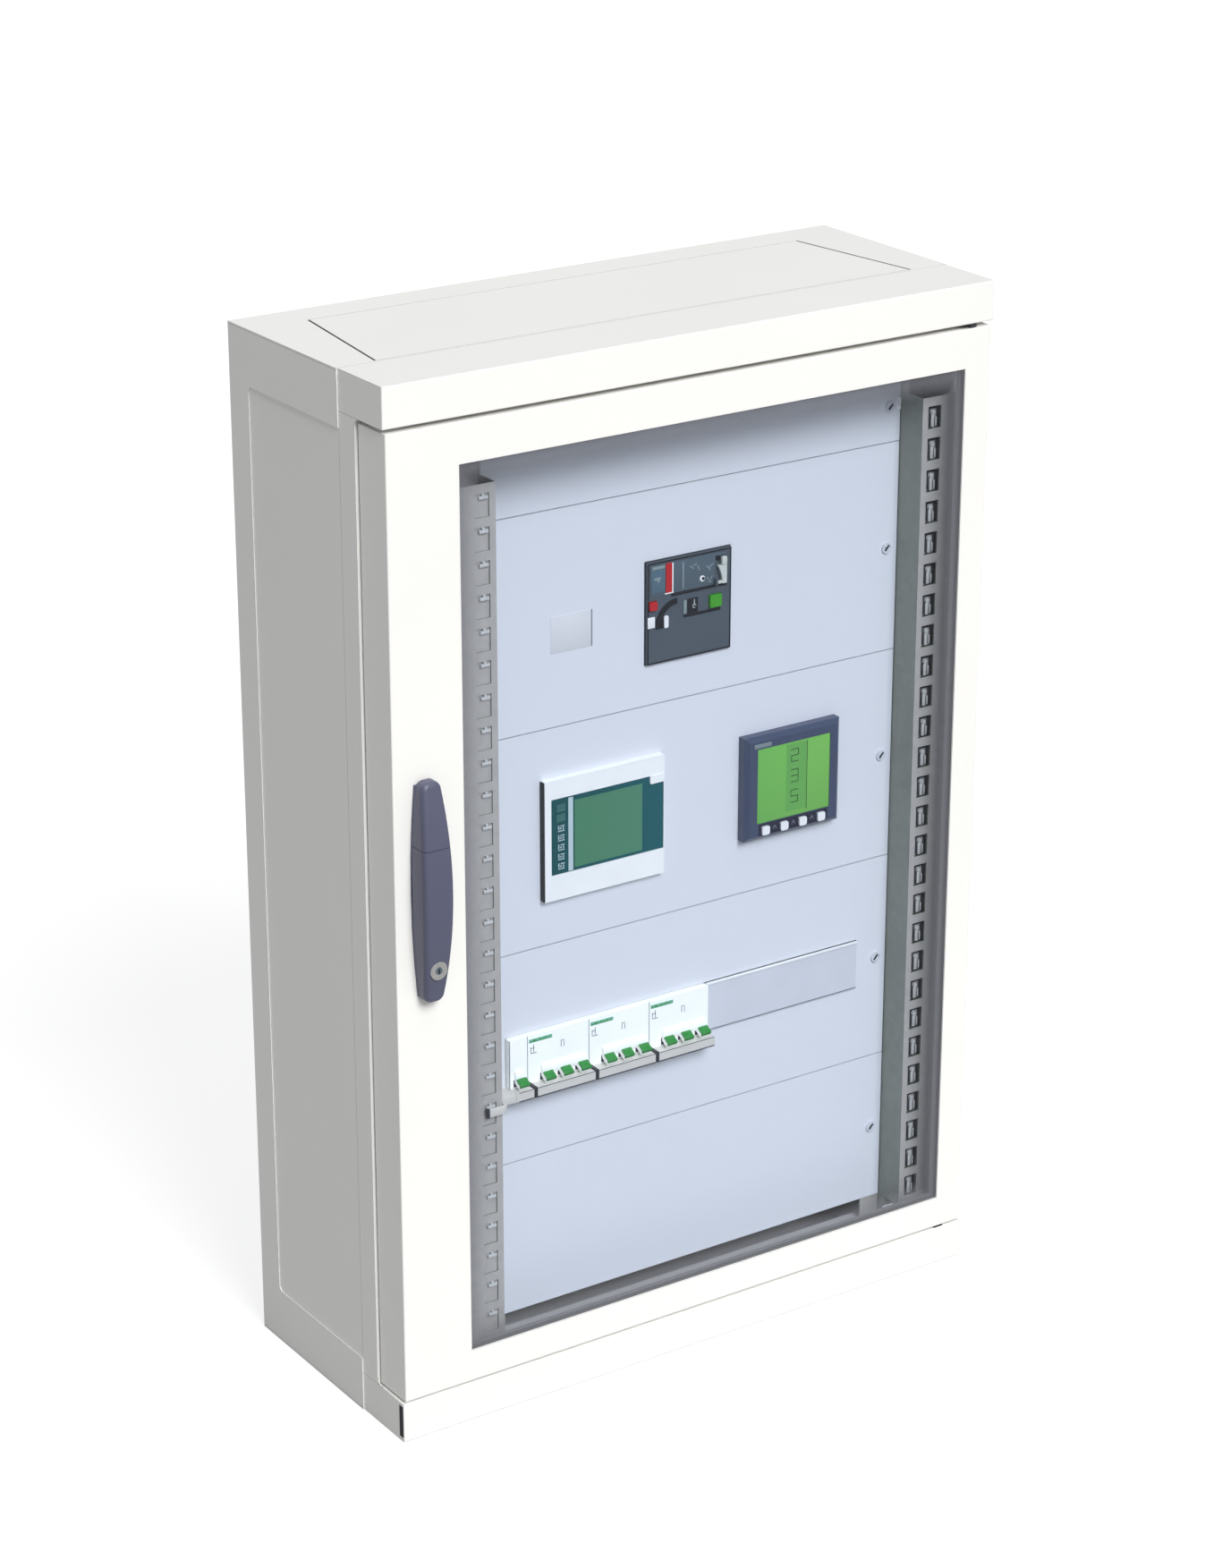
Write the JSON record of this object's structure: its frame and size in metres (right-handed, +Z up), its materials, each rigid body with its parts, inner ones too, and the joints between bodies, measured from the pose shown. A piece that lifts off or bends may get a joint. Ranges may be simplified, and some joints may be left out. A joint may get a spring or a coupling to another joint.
{
  "type": "industrial switchboard cabinet",
  "caption": "Wall-mounted distribution switchboard cabinet with a glazed, lockable hinged door over cover plates that carry breakers, a power meter and a display.",
  "frame": {"origin": "centre of the footprint of the cabinet with its door handle, at floor level", "axes": "+Z up, the door faces -Y, door hinges on the +X side"},
  "size_m": [0.605, 0.267, 0.93],
  "materials": {
    "enclosure_paint": "textured powder coat",
    "plate_paint": "smooth powder coat",
    "upright_steel": "satin grey coat",
    "bare_steel": "zinc plated",
    "copper": "drawn",
    "insulator": "moulded",
    "door_glass": "clear, slightly tinted",
    "seal_rubber": "matt",
    "handle_plastic": "satin",
    "lock_metal": "plated",
    "hinge_black": "satin",
    "breaker_dark": "moulded",
    "button_green": "moulded",
    "button_red": "moulded",
    "crank_grey": "moulded",
    "meter_slate": "moulded",
    "key_white": "moulded",
    "display_white": "moulded",
    "screen_teal": "printed film",
    "device_white": "moulded",
    "toggle_green": "moulded",
    "ledge_grey": "moulded",
    "fastener_black": "moulded"
  },
  "bodies": {
    "cabinet": {"back_panel": "enclosure_paint", "left_side_panel": "enclosure_paint", "right_side_panel": "enclosure_paint", "top_panel": "enclosure_paint", "bottom_panel": "enclosure_paint", "top_gland_plate": "enclosure_paint", "bottom_gland_plate": "enclosure_paint", "top_fascia": "enclosure_paint", "bottom_fascia": "enclosure_paint", "left_post": "enclosure_paint", "right_post": "enclosure_paint", "lower_plate": "plate_paint", "modular_plate": "plate_paint", "metering_plate": "plate_paint", "breaker_plate": "plate_paint", "filler_plate": "plate_paint", "wireway_cover": "plate_paint", "blanking_strip": "plate_paint", "left_upright": "upright_steel", "right_upright": "upright_steel", "breaker_mount": "bare_steel", "din_rail": "bare_steel", "latch_keepers": "bare_steel", "busbars": "copper", "busbar_supports": "insulator", "hinge_leaves": "hinge_black", "main_breaker_body": "breaker_dark", "main_breaker_front": "breaker_dark", "meter_case": "meter_slate", "display_case": "display_white", "display_screen": "screen_teal", "modular_breaker_0": "device_white", "modular_breaker_1": "device_white", "modular_breaker_2": "device_white", "modular_breaker_3": "device_white", "label_ledges": "ledge_grey", "plate_fasteners": "fastener_black"},
    "door": {"door_frame": "enclosure_paint", "door_glass": "door_glass", "glass_seal": "seal_rubber", "hinge_bushes": "bare_steel", "handle_base": "handle_plastic", "rod_guides": "bare_steel"},
    "handle": {"handle_head": "handle_plastic", "latch_cam": "bare_steel"},
    "lever": {"handle_lever": "handle_plastic"},
    "lock": {"lock_cylinder": "lock_metal"},
    "upper_rod": {"upper_latch_rod": "bare_steel"},
    "lower_rod": {"lower_latch_rod": "bare_steel"},
    "charging_handle": {"charging_handle": "crank_grey"},
    "close_button": {"close_button": "button_green"},
    "open_button": {"open_button": "button_red"},
    "meter_key_0": {"meter_key_0": "key_white"},
    "toggle_0": {"toggle_0": "toggle_green"},
    "meter_key_1": {"meter_key_1": "key_white"},
    "toggle_1": {"toggle_1": "toggle_green"},
    "meter_key_2": {"meter_key_2": "key_white"},
    "toggle_2": {"toggle_2": "toggle_green"},
    "meter_key_3": {"meter_key_3": "key_white"},
    "toggle_3": {"toggle_3": "toggle_green"}
  },
  "joints": [
    {"name": "door_swing", "type": "hinge", "parent": "cabinet", "child": "door", "pos_m": [0.294, -0.0735, 0.465], "axis": [0, 0, 1], "range_deg": [0, 100]},
    {"name": "handle_turn", "type": "hinge", "parent": "door", "child": "handle", "pos_m": [-0.2705, -0.1095, 0.5735], "axis": [0, -1, 0], "range_deg": [0, 90]},
    {"name": "lever_lift", "type": "hinge", "parent": "handle", "child": "lever", "pos_m": [-0.2705, -0.1315, 0.5472], "axis": [-1, 0, 0], "range_deg": [0, 28]},
    {"name": "key_turn", "type": "hinge", "parent": "lever", "child": "lock", "pos_m": [-0.2705, -0.1215, 0.4405], "axis": [0, -1, 0], "range_deg": [0, 90]},
    {"name": "upper_rod_slide", "type": "slide", "parent": "door", "child": "upper_rod", "axis": [0, 0, 1], "range_m": [-0.017, 0]},
    {"name": "lower_rod_slide", "type": "slide", "parent": "door", "child": "lower_rod", "axis": [0, 0, 1], "range_m": [0, 0.017]},
    {"name": "charging_handle_pull", "type": "hinge", "parent": "cabinet", "child": "charging_handle", "pos_m": [0.0545, -0.06215, 0.695], "axis": [1, 0, 0], "range_deg": [0, 80], "stiffness_Nm_per_rad": 0.004, "springref_deg": -20.05},
    {"name": "close_button_press", "type": "slide", "parent": "cabinet", "child": "close_button", "axis": [0, 1, 0], "range_m": [0, 0.002], "stiffness_N_per_m": 200, "springref_m": -0.002},
    {"name": "open_button_press", "type": "slide", "parent": "cabinet", "child": "open_button", "axis": [0, 1, 0], "range_m": [0, 0.002], "stiffness_N_per_m": 200, "springref_m": -0.002},
    {"name": "meter_key_0_press", "type": "slide", "parent": "cabinet", "child": "meter_key_0", "axis": [0, 1, 0], "range_m": [0, 0.0012], "stiffness_N_per_m": 200, "springref_m": -0.002},
    {"name": "meter_key_1_press", "type": "slide", "parent": "cabinet", "child": "meter_key_1", "axis": [0, 1, 0], "range_m": [0, 0.0012], "stiffness_N_per_m": 200, "springref_m": -0.002},
    {"name": "meter_key_2_press", "type": "slide", "parent": "cabinet", "child": "meter_key_2", "axis": [0, 1, 0], "range_m": [0, 0.0012], "stiffness_N_per_m": 200, "springref_m": -0.002},
    {"name": "meter_key_3_press", "type": "slide", "parent": "cabinet", "child": "meter_key_3", "axis": [0, 1, 0], "range_m": [0, 0.0012], "stiffness_N_per_m": 200, "springref_m": -0.002},
    {"name": "toggle_0_throw", "type": "hinge", "parent": "cabinet", "child": "toggle_0", "pos_m": [-0.1528, -0.0585, 0.288], "axis": [-1, 0, 0], "range_deg": [0, 60]},
    {"name": "toggle_1_throw", "type": "hinge", "parent": "cabinet", "child": "toggle_1", "pos_m": [-0.1078, -0.0585, 0.288], "axis": [-1, 0, 0], "range_deg": [0, 60]},
    {"name": "toggle_2_throw", "type": "hinge", "parent": "cabinet", "child": "toggle_2", "pos_m": [-0.0448, -0.0585, 0.288], "axis": [-1, 0, 0], "range_deg": [0, 60]},
    {"name": "toggle_3_throw", "type": "hinge", "parent": "cabinet", "child": "toggle_3", "pos_m": [0.0182, -0.0585, 0.288], "axis": [-1, 0, 0], "range_deg": [0, 60]}
  ],
  "couplings": [
    {"joint": "upper_rod_slide", "follows": "handle_turn", "m_per_rad": -0.0108},
    {"joint": "lower_rod_slide", "follows": "handle_turn", "m_per_rad": 0.0108}
  ]
}
